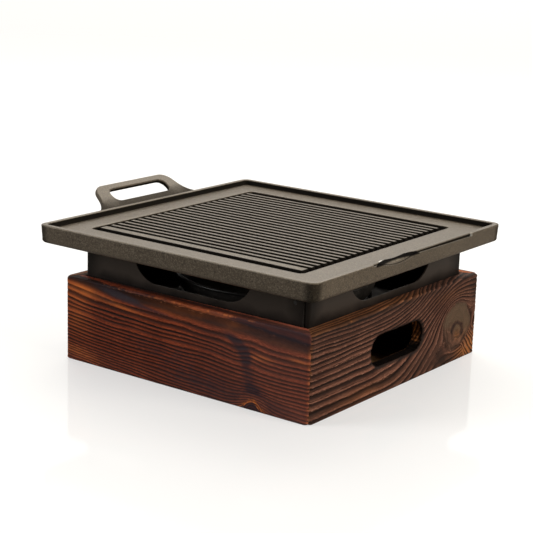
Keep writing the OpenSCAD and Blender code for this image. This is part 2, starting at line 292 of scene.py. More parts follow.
def cast_plate_material():
    t = Tree("cast_plate_coating")
    c = t.coords((1, 1, 1))
    speck = t.noise(c, 1500.0, 3.0, 0.6)
    cells = t.noise(c, 620.0, 4.0, 0.6)
    patch = t.noise(c, 26.0, 4.0, 0.6)
    base = t.mix(t.ramp(patch, [(0.35, 0.0), (0.68, 1.0)]), (0.058, 0.0445, 0.0315, 1), (0.078, 0.060, 0.0425, 1))
    base = t.mix(t.ramp(speck, [(0.50, 0.0), (0.63, 0.90)]), base, (0.150, 0.124, 0.092, 1))
    base = t.mix(t.ramp(cells, [(0.33, 0.80), (0.47, 0.0)]), base, (0.026, 0.021, 0.0165, 1))
    # the coating is thinner and rubbed paler on convex edges
    geo = t.add("ShaderNodeNewGeometry").outputs["Pointiness"]
    edge = t.ramp(geo, [(0.53, 0.0), (0.62, 1.0)])
    wear = t.math("MULTIPLY", edge, t.ramp(t.noise(c, 230.0, 4.0, 0.6), [(0.40, 0.15), (0.62, 0.75)]))
    base = t.mix(wear, base, (0.20, 0.170, 0.125, 1))
    # painted shade: this vertex attribute darkens the rib grooves, the rim's inner walls, the rebate line, the walls
    # toward the corners and the handle's root and hole
    groove = t.attr("groove")
    base = t.mix(t.math("MULTIPLY", groove, 0.96), base, (0.0035, 0.0032, 0.0030, 1))
    rough = t.math("ADD", 0.37, t.math("MULTIPLY", t.math("SUBTRACT", cells, 0.5), 0.28))
    rough = t.math("ADD", rough, t.math("MULTIPLY", groove, 0.5))
    # the pouring lip: deep shade right under its upper edge, glints on the edge itself
    tc = t.add("ShaderNodeTexCoord").outputs["Object"]
    xyz = t.add("ShaderNodeSeparateXYZ", {0: tc})
    lx = t.math("SUBTRACT", xyz.outputs[0], (PCX + PW + 61.5) * MM)
    ly = t.math("SUBTRACT", xyz.outputs[1], (PCY - 20.5) * MM)
    dist = t.math("SQRT", t.math("ADD", t.math("MULTIPLY", lx, lx), t.math("MULTIPLY", ly, ly)))
    up = t.math("SUBTRACT", xyz.outputs[2], RIM_Z * MM)
    near = t.math("MULTIPLY", t.math("SUBTRACT", 0.0662, dist), 1 / 0.0002, clamp=True)
    near = t.math("MULTIPLY", near, t.math("MULTIPLY", t.math("ADD", up, 0.0026), 1 / 0.0008, clamp=True))
    near = t.math("MULTIPLY", near, t.math("MULTIPLY", t.math("SUBTRACT", -0.00008, up), 1 / 0.0002, clamp=True))
    near = t.math("MULTIPLY", near, t.math("GREATER_THAN", xyz.outputs[0], (PCX + PW - 5.2) * MM))
    base = t.mix(t.math("MULTIPLY", near, 0.97), base, (0.0025, 0.0024, 0.0026, 1))
    rough = t.math("ADD", rough, t.math("MULTIPLY", near, 0.4))
    band = t.math("MULTIPLY", t.math("GREATER_THAN", dist, 0.0659), t.math("LESS_THAN", dist, 0.0669))
    band = t.math("MULTIPLY", band, t.math("GREATER_THAN", up, -0.0006))
    y1 = t.math("SUBTRACT", 1.0, t.math("MULTIPLY", t.math("ABSOLUTE", t.math("SUBTRACT", xyz.outputs[1], (PCY - 33.5) * MM)), 1 / 0.0060), clamp=True)
    y2 = t.math("SUBTRACT", 1.0, t.math("MULTIPLY", t.math("ABSOLUTE", t.math("SUBTRACT", xyz.outputs[1], (PCY - 8.5) * MM)), 1 / 0.0024), clamp=True)
    y3 = t.math("SUBTRACT", 1.0, t.math("MULTIPLY", t.math("ABSOLUTE", t.math("SUBTRACT", xyz.outputs[1], (PCY + 67.5) * MM)), 1 / 0.0014), clamp=True)
    y3 = t.math("MULTIPLY", t.math("MULTIPLY", y3, 0.26), t.math("MULTIPLY", t.math("GREATER_THAN", xyz.outputs[0], (PCX + PW - 1.3) * MM), t.math("GREATER_THAN", up, -0.0022)))
    glint = t.math("MULTIPLY", band, t.math("ADD", t.math("MULTIPLY", y1, 2.4, clamp=True), t.math("MULTIPLY", y2, 1.2, clamp=True), clamp=True))
    glint = t.math("ADD", glint, y3, clamp=True)
    base = t.mix(glint, base, (0.80, 0.78, 0.74, 1))
    nrm = t.bump(cells, 0.22, 0.00022)
    nrm = t.bump(speck, 0.20, 0.00010, nrm)
    shaded = t.math("MAXIMUM", groove, near)
    shine = t.math("SUBTRACT", 0.42, t.math("MULTIPLY", shaded, 0.39))
    t.set(Base_Color=base, Roughness=rough, Specular_IOR_Level=shine, Specular_Tint=(1.0, 0.87, 0.68, 1), Normal=nrm)
    return t.m


def black_sheet_material():
    t = Tree("black_sheet_paint")
    c = t.coords((1, 1, 1))
    grainy = t.noise(c, 1300.0, 3.0, 0.6)
    smear = t.noise(t.coords((1, 1, 1.6)), 9.0, 1.0, 0.4)
    col = t.mix(t.ramp(smear, [(0.35, 0.0), (0.7, 1.0)]), (0.0255, 0.0192, 0.0157, 1), (0.0282, 0.0213, 0.0173, 1))
    col = t.mix(t.ramp(grainy, [(0.58, 0.0), (0.74, 0.08)]), col, (0.040, 0.032, 0.026, 1))
    # worn paler on the folded and cut edges: where a rounded normal leaves the true one
    bevel = t.add("ShaderNodeBevel", samples=4)
    bevel.inputs["Radius"].default_value = 0.0007
    geo = t.add("ShaderNodeNewGeometry").outputs["Normal"]
    turn = t.add("ShaderNodeVectorMath", {0: bevel.outputs[0], 1: geo}, operation="DOT_PRODUCT").outputs["Value"]
    edge = t.ramp(turn, [(0.80, 1.0), (0.97, 0.0)])
    wear = t.math("MULTIPLY", edge, t.ramp(t.noise(c, 300.0, 3.0, 0.6), [(0.42, 0.0), (0.60, 0.6)]))
    # painted shade: darker round the folded corners and low down, where it stands in the frame
    xyz = t.add("ShaderNodeSeparateXYZ", {0: t.add("ShaderNodeTexCoord").outputs["Object"]})
    nearer = t.math("MINIMUM", t.math("ABSOLUTE", xyz.outputs[0]), t.math("ABSOLUTE", xyz.outputs[1]))
    patchy = t.math("MULTIPLY", t.math("SUBTRACT", t.noise(c, 60.0, 3.0, 0.5), 0.5), 0.010)
    bend = t.math("MULTIPLY", t.math("SUBTRACT", t.math("ADD", nearer, patchy), 0.0700), 1 / 0.0125, clamp=True)
    low = t.math("MULTIPLY", t.math("SUBTRACT", 0.0612, t.math("ADD", xyz.outputs[2], patchy)), 1 / 0.006, clamp=True)
    sheet_painted_shade = t.math("MULTIPLY", t.math("MAXIMUM", bend, low), 0.78)
    col = t.mix(sheet_painted_shade, col, (0.0042, 0.0038, 0.0038, 1))
    col = t.mix(wear, col, (0.085, 0.078, 0.07, 1))
    rough = t.math("ADD", 0.34, t.math("MULTIPLY", t.math("SUBTRACT", smear, 0.5), 0.12))
    nrm = t.bump(grainy, 0.06, 0.00010)
    t.set(Base_Color=col, Roughness=rough, Specular_IOR_Level=t.math("SUBTRACT", 0.32, t.math("MULTIPLY", sheet_painted_shade, 0.22)), Specular_Tint=(1.0, 0.86, 0.74, 1), Normal=nrm)
    return t.m


def heat_steel_material(name, dark, light, rough0=0.36):
    t = Tree(name)
    c = t.coords((1, 1, 1))
    turned = t.noise(t.coords((0.2, 0.2, 9.0)), 60.0, 3.0, 0.5)
    blot = t.noise(c, 40.0, 5.0, 0.6)
    ash = t.noise(c, 420.0, 4.0, 0.65)
    col = t.mix(t.ramp(blot, [(0.36, 0.0), (0.66, 1.0)]), (*dark, 1), (*light, 1))
    col = t.mix(t.ramp(ash, [(0.56, 0.0), (0.74, 0.55)]), col, (0.11, 0.10, 0.09, 1))
    rough = t.math("ADD", rough0, t.math("MULTIPLY", t.math("SUBTRACT", blot, 0.5), 0.3))
    nrm = t.bump(turned, 0.12, 0.0002)
    nrm = t.bump(ash, 0.14, 0.00012, nrm)
    t.set(Base_Color=col, Roughness=rough, Metallic=0.0, Specular_IOR_Level=0.36, Normal=nrm)
    return t.m


def raw_wood_material(name, light, dark, axis, scale=1.0):
    """Sawn pine: axis 2 has the grain standing up, 0 has it along X."""
    t = Tree(name)
    stretch = (5, 60, 60) if axis == 0 else (60, 60, 5)
    c = t.coords(stretch)
    g = t.noise(c, 1.6 * scale, 5.0, 0.6, 0.4)
    rings = t.add("ShaderNodeTexWave", {"Vector": t.coords((1, 1, 1), (0.0, 0.05, 0.1)), "Scale": 60.0 * scale, "Distortion": 5.0, "Detail": 3.0, "Detail Scale": 1.2},
                  wave_type="BANDS", bands_direction="Y").outputs["Fac"]
    f = t.math("ADD", t.math("MULTIPLY", rings, 0.55), t.math("MULTIPLY", g, 0.45))
    col = t.mix(t.ramp(f, [(0.25, 0.0), (0.75, 1.0)]), (*dark, 1), (*light, 1))
    fuzz = t.noise(t.coords((1, 1, 1)), 700.0, 3.0, 0.6)
    col = t.mix(t.ramp(fuzz, [(0.3, 0.35), (0.55, 0.0)]), col, (*[x * 0.5 for x in dark], 1))
    nrm = t.bump(g, 0.35, 0.0004)
    nrm = t.bump(fuzz, 0.2, 0.0002, nrm)
    t.set(Base_Color=col, Roughness=t.math("ADD", 0.62, t.math("MULTIPLY", g, 0.2)), Specular_IOR_Level=0.3, Normal=nrm)
    return t.m


def zinc_material():
    t = Tree("zinc_screw")
    c = t.coords((1, 1, 1))
    n = t.noise(c, 500.0, 4.0, 0.6)
    fine = t.noise(c, 2600.0, 2.0, 0.5)
    col = t.mix(t.ramp(n, [(0.3, 0.0), (0.7, 1.0)]), (0.34, 0.34, 0.33, 1), (0.60, 0.59, 0.56, 1))
    rough = t.math("ADD", 0.24, t.math("MULTIPLY", n, 0.25))
    t.set(Base_Color=col, Metallic=1.0, Roughness=rough, Normal=t.bump(fine, 0.2, 0.0001))
    return t.m


FRONT_WOOD = charred_wood("charred_pine_red", (0.475, 0.092, 0.0325), (0.315, 0.057, 0.0215), (0.0080, 0.0036, 0.0033),
                          (0.86, 0.235, 0.050), (0.0300, 0.0215, 0.0265), (0.330, 0.155, 0.128), 1, 0.08)
SIDE_WOOD = charred_wood("charred_pine_brown", (0.352, 0.155, 0.103), (0.240, 0.096, 0.063), (0.0056, 0.0031, 0.0025),
                         (0.50, 0.180, 0.045), (0.0120, 0.0088, 0.0075), (0.100, 0.073, 0.046), 7, 0.07, True)
PLATE = cast_plate_material()
SHEET = black_sheet_material()
BOWL = heat_steel_material("bowl_enamel", (0.015, 0.0132, 0.0118), (0.034, 0.030, 0.0265), 0.42)
RIVET = heat_steel_material("rivet_black", (0.012, 0.0105, 0.0098), (0.022, 0.020, 0.019), 0.3)
POST = raw_wood_material("sawn_pine_post", (0.42, 0.25, 0.115), (0.26, 0.135, 0.055), 2)
PANEL = raw_wood_material("plywood_panel", (0.30, 0.165, 0.075), (0.185, 0.092, 0.038), 0, 0.7)
ZINC = zinc_material()


def paint(node_name, material):
    o = nodes[node_name]
    o.data.materials.clear()
    o.data.materials.append(material)


for n in ("corner_post_front_left", "corner_post_front_right", "corner_post_rear_left", "corner_post_rear_right"):
    paint(n, POST)
paint("base_panel", PANEL)
paint("base_panel_screws", ZINC)
for n in ("firebox_front_half", "firebox_rear_half", "firebox_floor"):
    paint(n, SHEET)
paint("firebox_rivets", RIVET)
paint("fuel_bowl", BOWL)


# ---------------------------------------------------------------- wood figure
def ring_of(z, table):
    """Ring number from a height, through a table of (height, ring spacing)."""
    zs = np.arange(-80.0, 140.0, 0.25)
    spacing = np.interp(zs, [p[0] for p in table], [p[1] for p in table])
    g = np.cumsum(0.25 / spacing)
    return np.interp(z, zs, g)


def front_figure(a, z):
    """Front board: low cathedral at the upper left, scorched column and a half knot at the lower edge."""
    drop = 0.030 * (a + 96) + 3.4 * (1 - np.exp(-(a + 96) / 42.0))
    bump = 5.2 * blob(a, z, 56, -2, 12, 13) + 1.6 * blob(a, z, 53, 33, 8, 9) - 1.3 * blob(a, z, 43, 36, 7, 8)
    bump = bump - 1.5 * blob(a, z, 72, 44, 20, 6) + 1.2 * blob(a, z, 20, 30, 26, 7)
    drift = 1.1 * vnoise(a / 55.0, z / 17.0, 3) + 0.45 * vnoise(a / 19.0, z / 8.0, 5)
    zz = z + drop - bump + drift
    ring = ring_of(zz, [(0, 1.85), (12, 1.95), (22, 2.2), (32, 2.65), (42, 3.3), (50, 4.2), (53.5, 6.5), (56, 9.0), (80, 9.0)])
    tone = (1.0 * blob(a, z, -50, 50.3, 17, 2.2, -8) + 0.55 * blob(a, z, -25, 46.2, 26, 1.2, -4) + 0.45 * blob(a, z, -30, 55.0, 32, 1.3)
            + 1.25 * blob(a, z, 84, 51.5, 20, 3.2, -3) + 1.0 * blob(a, z, 62, 53.0, 16, 2.2) + 0.5 * blob(a, z, 38, 53.5, 16, 1.2)
            + 0.80 * blob(a, z, 40, 41.3, 7, 2.6, -20) + 0.95 * blob(a, z, 47.5, 35.5, 6.5, 3.6, -35) + 0.60 * blob(a, z, 50, 28.5, 4, 4.5)
            + 0.50 * blob(a, z, 52, 20, 4, 6) + 0.65 * blob(a, z, 57, 12, 6, 4) + 0.35 * blob(a, z, 70, 5, 16, 5)
            + 0.38 * blob(a, z, 22, 8, 36, 9) + 0.22 * blob(a, z, -10, 22, 40, 10) + 0.40 * blob(a, z, -62, 46, 10, 1.4, -12))
    r = np.hypot((a - 56) / 1.15, z + 0.5)
    knot = smooth(7.0, 5.6, np.abs(a - 55.5) / 1.35 + np.maximum(z, 0) * 1.12 + 0.9 * vnoise(a / 2.2, z / 2.2, 12))
    tone = tone * (1 - smooth(11.5, 9.5, r)) + 1.15 * knot
    ring = np.where(r < 7.0, r / 1.6, ring)
    warm = (0.62 * blob(a, z, -82, 48.5, 13, 4.2, -4) + 0.55 * blob(a, z, -55, 44.5, 20, 1.6, -8) + 0.50 * blob(a, z, 39, 49, 9, 3.2)
            + 0.34 * blob(a, z, 0, 49.5, 22, 3.0) + 0.30 * blob(a, z, 6, 51.5, 46, 3.0) + 0.45 * blob(a, z, 90, 37.0, 9, 1.4, -6) + 0.50 * blob(a, z, 60, 33.4, 9, 1.7)
            + 0.42 * blob(a, z, -84, 6, 15, 3.4, -8) + 0.26 * blob(a, z, -86, 30, 10, 12) + 0.30 * blob(a, z, 78, 44.5, 16, 1.4, -4)
            + 0.20 * blob(a, z, -88, 41.5, 10, 2.0, -6))
    rh = np.abs(a - 55.5) / 1.35 + np.maximum(z, 0) * 1.12 + 0.9 * vnoise(a / 2.2, z / 2.2, 12)
    halo = smooth(5.2, 6.4, rh) * smooth(9.6, 7.6, rh) * np.clip(0.80 + 0.55 * vnoise(a / 2.4, z / 2.4, 11), 0, 1)
    warm = warm * (1 - knot) + 1.15 * np.clip(halo, 0, 1)
    grey = 0.26 * smooth(-20, 80, a) * (1 - knot) * (1 - np.clip(halo, 0, 1)) + 0.10 * smooth(16, 4, z)
    relief = 0.25 * knot
    return ring, tone, np.clip(warm, 0, 1), grey, relief


def side_figure(a, z):
    """Right board: coarse straight grain that sweeps up round a large oval knot."""
    ka, kz, rk = 70.5, 24.0, 15.6
    calm = 1 - 0.45 * smooth(24, 52, z)
    rise = 0.03 * (a + 20) * (a > -20) + 0.60 * calm * np.where(a < -14, 0.0, np.where(a < 30, (a + 14) ** 2 / 88.0, a - 8.0))
    rise_k = 0.03 * (ka + 20) + 0.60 * (ka - 8.0)
    base = z - rise - (kz - rise_k)
    da, dz = (a - ka) / 1.12, z - kz
    r = np.hypot(da, dz) + 1e-6
    flow = base * (1 - np.minimum(rk * rk / (r * r), 0.985)) + (kz - rise_k) - 10.5
    drift = 0.9 * vnoise(a / 46.0, z / 16.0, 23) + 0.40 * vnoise(a / 17.0, z / 7.0, 25)
    zz = flow + 10.5 + drift * smooth(0, 8, r - rk)
    ring = ring_of(zz, [(-40, 3.6), (-20, 4.2), (0, 4.9), (12, 5.0), (20, 4.6), (27, 3.9), (34, 3.1), (42, 2.5), (60, 2.4)])
    wob = 1.5 * vnoise(a / 8.0, z / 8.0, 31) + 0.5 * vnoise(a / 2.6, z / 2.6, 32)
    inside = smooth(rk + 1.6, rk - 1.6, r + wob)
    ring = np.where(r + wob < rk, 40 + (r + 2.4 * vnoise(a / 5.0, z / 5.0, 45)) / 4.2, ring)
    corner = smooth(80, 84, a + 0.5 * z) * smooth(23, 18, z) * (1 - inside)
    ring = np.where(corner > 0.5, 90 + (a * 0.80 + z * 0.85 + 1.2 * vnoise(a / 6.0, z / 6.0, 39)) / 3.0, ring)
    tone = (0.30 * blob(a, z, 40, 12, 26, 10) + 0.30 * blob(a, z, 50, 8, 8, 8) + 0.45 * blob(a, z, 63, 3, 14, 3)
            + 0.32 * blob(a, z, -95, 3, 20, 4) + 0.35 * blob(a, z, -30, 53.0, 60, 1.3) + 0.25 * blob(a, z, 93, 45, 6, 10)
            + 0.20 * blob(a, z, 10, 5, 40, 5))
    edge = smooth(rk - 2.6, rk - 0.9, r + wob) * smooth(rk + 1.6, rk + 0.4, r + wob)
    tone = tone * (1 - 0.8 * inside) + 0.16 * edge
    ra = np.hypot((a - 70.5) / 1.15, (z - 20.0)) + 0.7 * vnoise(a / 2.6, z / 2.6, 33)
    arch = smooth(8.2, 6.6, ra) * smooth(3.6, 5.2, ra) * smooth(16.5, 20.0, z + 0.25 * (a - 70))
    # painted shade: the board gets darker toward its top, under the plate
    tone = tone + 0.27 * smooth(22, 54, z) * (1 - inside) + 0.50 * arch + 0.16 * inside * (1 - smooth(-3.0, 6.0, (z - 20) + 0.30 * (a - 70))) + 0.22 * inside * np.clip(vnoise(a / 3.4, z / 3.4, 35), 0, 1)
    warm = (0.62 * blob(a, z, 92, 8, 12, 8, 20) + 0.45 * blob(a, z, 76, 3.5, 12, 4) + 0.42 * smooth(52.6, 54.2, z + 0.7 * vnoise(a / 9.0, 0.0 * a, 41)) * smooth(45, 0, a)
            + 0.14 * blob(a, z, 60, 47, 20, 4) + 0.18 * blob(a, z, -40, 6, 30, 4))
    warm = warm * (1 - inside) + 0.62 * blob(a, z, 71, 18.5, 3.6, 3.8) + 0.28 * inside * blob(a, z, 84, 14, 9, 9)
    crescent = smooth(-3.0, 6.0, (z - 20) + 0.30 * (a - 70) + 2.5 * vnoise(a / 7.0, z / 7.0, 37))
    grey = inside * (0.30 + 0.58 * crescent) * (1 - 0.5 * arch)
    relief = 0.16 * inside
    # lines go faint where the figure opens out beside the knot
    wedge = blob(a, z, 51, 11, 9, 6, 25) + blob(a, z, 90, 35, 5, 7, 60)
    ring = np.where(inside < 0.5, ring + 0.30 * np.clip(wedge, 0, 1) * vnoise(a / 1.9, z / 1.9, 43), ring)
    fade = np.clip(0.85 * wedge + 0.35 * blob(a, z, 40, 8, 18, 10) + 0.04 * smooth(10, 60, a) * (1 - inside) + 0.50 * inside, 0, 0.92)
    return ring, tone, np.clip(warm, 0, 1), grey, relief, fade


def plain_figure(seed, side):
    """A board that the other two don't show: same stock, its own figure and one knot."""
    rng = np.random.RandomState(seed)
    ka, kz, rk = rng.uniform(-60, -35), rng.uniform(34, 40), rng.uniform(4.0, 5.5)
    ka2 = rng.uniform(62, 78)

    def figure(a, z):
        base = z + 0.022 * a + 2.2 * np.sin(a / 41.0 + seed) + 1.2 * vnoise(a / 50.0, z / 18.0, seed) + 0.4 * vnoise(a / 17.0, z / 7.0, seed + 3)
        r = np.hypot((a - ka) / 1.2, z - kz) + 1e-6
        flow = (base - kz) * (1 - np.minimum(rk * rk / (r * r), 0.98)) + kz
        r2 = np.hypot((a - ka2) / 1.2, z - 8) + 1e-6
        flow = (flow - 8) * (1 - np.minimum(9.0 / (r2 * r2), 0.98)) + 8
        ring = ring_of(flow, [(0, 3.0), (15, 2.6), (30, 3.3), (44, 4.4), (60, 5.5)] if side else [(0, 2.4), (20, 2.9), (36, 3.4), (50, 5.0), (60, 7.0)])
        wob = 0.5 * vnoise(a / 3.0, z / 3.0, seed + 9)
        inside = smooth(rk + 0.5, rk - 0.5, r + wob) + smooth(3.2, 2.5, r2 + wob)
        ring = np.where(r + wob < rk, 40 + r / 1.5, np.where(r2 + wob < 3, 60 + r2 / 1.2, ring))
        tone = 0.75 * np.clip(fbm(a / 33.0, z / 12.0, seed + 20) - 0.12, 0, 1) * 1.7 + 0.5 * smooth(2.0, 0.0, z) + 0.35 * blob(a, z, ka, kz, 16, 9)
        warm = 0.5 * np.clip(fbm(a / 26.0, z / 9.0, seed + 40) - 0.2, 0, 1) * 2.0 + 0.45 * smooth(52.6, 54.2, z)
        warm = warm * (1 - inside)
        tone = tone * (1 - 0.5 * inside) + 0.3 * inside
        grey = 0.65 * np.clip(inside, 0, 1) * (1.0 if side else 0.25)
        return ring, tone, np.clip(warm, 0, 1), grey, 0.14 * np.clip(inside, 0, 1)
    return figure


def ring_relief(ring, seed):
    """Depth in mm that the wire brush took out of the soft part of each ring."""
    f = np.mod(ring, 1.0)
    n = np.floor(ring + 0.12)
    depth = 0.62 + 0.38 * (_hash(n, n * 0, seed))
    pulse = np.exp(-(((f + 0.5) % 1.0 - 0.64) / 0.145) ** 2)
    return pulse * depth


def make_board(name, node, material, figure, turn, seed, step=0.65, slot=None, depth=0.55, slot_mat=None):
    """A mitred board with its ends on the corner diagonals, its arris worn round and its grain in relief."""
    out, inn, top = FRAME_Y, FRAME_Y - BOARD_T, BOARD_H
    flat = out - CORNER_R
    n_mid = int(2 * flat / step)
    cols = np.concatenate([-flat - np.array([2.404, 1.85, 1.25, 0.62]) * (MITRE - flat) / 2.404,
                           np.linspace(-flat, flat, n_mid + 1),
                           flat + np.array([0.62, 1.25, 1.85, 2.404]) * (MITRE - flat) / 2.404])
    er = 1.2
    n_face = int((top - er - 0.7) / step)
    face_z = np.linspace(0.7, top - er, n_face + 1)
    prof = [(out - 0.7, 0.0, 2), (out - 0.2, 0.2, 2)]
    i0 = len(prof)
    prof += [(out, z, 0) for z in face_z]
    i1 = len(prof) - 1
    for k in (1, 2, 3, 4):
        t = math.pi / 2 * k / 4
        prof.append((out - er + er * math.cos(t), top - er + er * math.sin(t), 1))
    n_top = int((BOARD_T - er - 0.5) / step)
    prof += [(y, top, 1) for y in np.linspace(out - er, inn + 0.5, n_top + 1)[1:]]
    prof += [(inn + 0.15, top - 0.15, 3)]
    j0 = len(prof)
    rows_in = face_z[::-1] if slot else np.linspace(top - er, 0.7, 12)
    prof += [(inn, z, 3) for z in rows_in]
    j1 = len(prof) - 1
    prof += [(inn + 0.2, 0.2, 2), (inn + 0.7, 0.0, 2), ((inn + out) / 2, 0.0, 2)]
    P = np.array([(p[0], p[1]) for p in prof])
    kind = np.array([p[2] for p in prof])
    R, C = len(prof), len(cols)
    a = np.broadcast_to(cols[None, :], (R, C)).copy()
    py = np.broadcast_to(P[:, 0][:, None], (R, C))
    z = np.broadcast_to(P[:, 1][:, None], (R, C)).copy()
    end = np.minimum(py, MITRE)
    w = smooth(60, MITRE, np.abs(a))
    x = a - np.sign(a) * (MITRE - end) * w
    x = np.where(np.abs(a) >= MITRE - 1e-6, np.sign(a) * end, x)
    inset = CORNER_R - np.sqrt(np.maximum(CORNER_R ** 2 - np.maximum(np.abs(x) - flat, 0) ** 2, 0))
    limit = out - inset
    y = np.minimum(py, limit)                     # distance outwards
    # the router took the corners off where top and bottom meet the upright corners
    tip = np.clip((np.abs(x) - (MITRE - 3.2)) / 3.2, 0, 1) * smooth(out - 5.0, out - 0.8, np.broadcast_to(P[:, 0][:, None], (R, C)))
    z = np.where(z > top - 3.5, z - 2.1 * tip ** 2 * smooth(top - 4.2, top, z), z)
    z = np.where(z < 4.6, z + 0.9 * tip ** 2 * smooth(4.6, 0.0, z), z)
    # slot outline
    removed = np.zeros((R, C), bool)
    sd = np.full((R, C), 99.0)
    if slot:
        sa, sz, sl, sh = slot
        hl = (sl - sh) / 2
        ang_n = 0.16 * vnoise(a / 1.6, z / 1.6, seed + 77)

        def sdf(u, v):
            du = np.maximum(np.abs(u - sa) - hl, 0)
            return np.hypot(du, v - sz) - sh / 2
        sd = sdf(a, z) + ang_n
        for lo_r, hi_r in ((i0, i1), (j0, j1)):
            # move the vertices next to the outline onto it
            for _ in range(3):
                s = sdf(a[lo_r:hi_r + 1], z[lo_r:hi_r + 1])
                near = np.abs(s) < step * 0.5
                du = np.clip(a[lo_r:hi_r + 1] - sa, -hl, hl) + sa
                vx, vz = a[lo_r:hi_r + 1] - du, z[lo_r:hi_r + 1] - sz
                ln = np.maximum(np.hypot(vx, vz), 1e-6)
                a[lo_r:hi_r + 1] -= np.where(near, vx / ln * s, 0)
                z[lo_r:hi_r + 1] -= np.where(near, vz / ln * s, 0)
            x[lo_r:hi_r + 1] = np.where(np.abs(a[lo_r:hi_r + 1]) < 59, a[lo_r:hi_r + 1], x[lo_r:hi_r + 1])
    # figure and relief
    zz = np.where(kind[:, None] == 1, np.maximum(z, 0) + np.maximum(out - er - np.broadcast_to(P[:, 0][:, None], (R, C)), 0) * 0.9, z)
    drawn = figure(a, zz)
    ring, tone, warm, grey, lift = drawn[:5]
    fade = drawn[5] if len(drawn) > 5 else np.zeros_like(ring)
    ring = ring + 0.21 * vnoise(ring * 0.93, 0 * ring, seed + 50)
    rel = ring_relief(ring, seed) * depth * (1 - 0.55 * grey) * (1 - 0.8 * np.clip(lift / 0.14, 0, 1)) - 0 * a
    rel = rel * (1 - 0.6 * smooth(top - 2.4, top - 0.6, z) * (kind < 2)[:, None])
    rel = rel + 0.10 * (0.5 + 0.5 * fbm(a / 4.0, zz / 1.1, seed + 60))
    rel = rel + 0.10 * (0.5 + 0.5 * vnoise(a / 30.0, zz / 10.0, seed + 61)) - np.minimum(lift, 0.25) * 0.4
    ends = smooth(MITRE - 1.2, MITRE, np.abs(a))
    is_out = (kind == 0)[:, None]
    is_top = (kind == 1)[:, None]
    inner = (kind == 3)[:, None]
    under = (kind == 2)[:, None]
    y = y - np.where(is_out | is_top, np.maximum(rel, 0) * (1 - 0.3 * ends) + 0.12 * ends, 0)
    z = z - np.where(is_top, np.maximum(rel, 0) * 0.6, 0)
    x = x - np.sign(x) * np.where(np.abs(a) > flat, 0.0, 0.0)
    if slot:
        y = y - np.where(is_out, 0.55 * np.exp(-(np.maximum(sd, 0) / 0.75) ** 2) + 0.18 * np.exp(-(np.maximum(sd, 0) / 2.2) ** 2), 0)
        y = y + np.where(inner, 0.35 * np.exp(-(np.maximum(sd, 0) / 0.6) ** 2), 0)
        tone = tone + 1.25 * np.exp(-(np.maximum(sd + 0.25 * vnoise(a / 1.3, z / 1.3, seed + 5), 0) / 1.0) ** 2)
    # the arris and the upright corners are worn a little lighter
    arris = np.exp(-((z - (top - 0.75)) / 0.55) ** 2) * smooth(0.05, 0.45, vnoise(a / 11.0, z * 0, seed + 31) + 0.35 * vnoise(a / 2.3, z * 0, seed + 32))
    arris = arris * np.clip(0.55 + 0.6 * vnoise(a / 1.1, z * 0, seed + 33), 0, 1)
    if slot:
        arris = arris * smooth(48, 20, a)
    warm = np.clip(warm + 0.60 * arris * (is_out | is_top), 0, 1)
    tone = tone * (1 - 0.6 * arris)
    # the upright corners are rubbed pale in short runs
    rub = smooth(MITRE - 1.5, MITRE - 0.5, np.abs(a)) * np.clip(0.35 + 1.1 * vnoise(a * 0 + 3.0, z / 1.4, seed + 34), 0, 1)
    warm = np.clip(warm + (0.30 if slot else 0.50) * rub * is_out, 0, 1)
    tone = tone * (1 - 0.5 * ends) + 0.55 * smooth(1.6, 0.0, z) * (0.6 + 0.4 * vnoise(a / 5.0, z * 0, seed + 8))
    inside = np.where(inner, 1.0, 0.0) * np.ones((R, C))
    inside = np.where(under, 0.4, inside)
    idx = np.arange(R * C).reshape(R, C)
    faces, fm = [], []
    r0 = np.arange(R)
    r1 = (r0 + 1) % R
    q = np.stack([idx[r0][:, :-1], idx[r0][:, 1:], idx[r1][:, 1:], idx[r1][:, :-1]], -1)   # R x C-1 x 4
    keep = np.ones(q.shape[:2], bool)
    verts = np.stack([x, -y, z], -1).reshape(-1, 3)
    extra_v, extra_attr, extra_f = [], [], []
    if slot:
        ca = a.reshape(-1)[q].mean(-1)
        cz = z.reshape(-1)[q].mean(-1)
        cut = sdf(ca, cz) < 0
        for lo_r, hi_r in ((i0, i1), (j0, j1)):
            keep[lo_r:hi_r] &= ~cut[lo_r:hi_r]
        # walls between the outer and the inner outline
        edges = {}
        for i in range(i0, i1):
            gone = np.nonzero(~keep[i])[0]
            for c in gone:
                loop = ((i, c), (i, c + 1), (i + 1, c + 1), (i + 1, c))
                for k in range(4):
                    e = (loop[k], loop[(k + 1) % 4])
                    if (e[1], e[0]) in edges:
                        del edges[(e[1], e[0])]
                    else:
                        edges[e] = True
        nxt = {e[0]: e[1] for e in edges}
        start = next(iter(nxt))
        ringv, cur = [], start
        while True:
            ringv.append(cur)
            cur = nxt[cur]
            if cur == start:
                break
        outer = [idx[i, c] for i, c in ringv]
        other = [idx[j1 - (i - i0), c] for i, c in ringv]
        K = 9
        vo, vi = verts[outer], verts[other]
        base = R * C
        layers = [np.array(outer)]
        per = np.arange(len(outer))
        for k in range(1, K):
            t = k / K
            p = vo * (1 - t) + vi * t
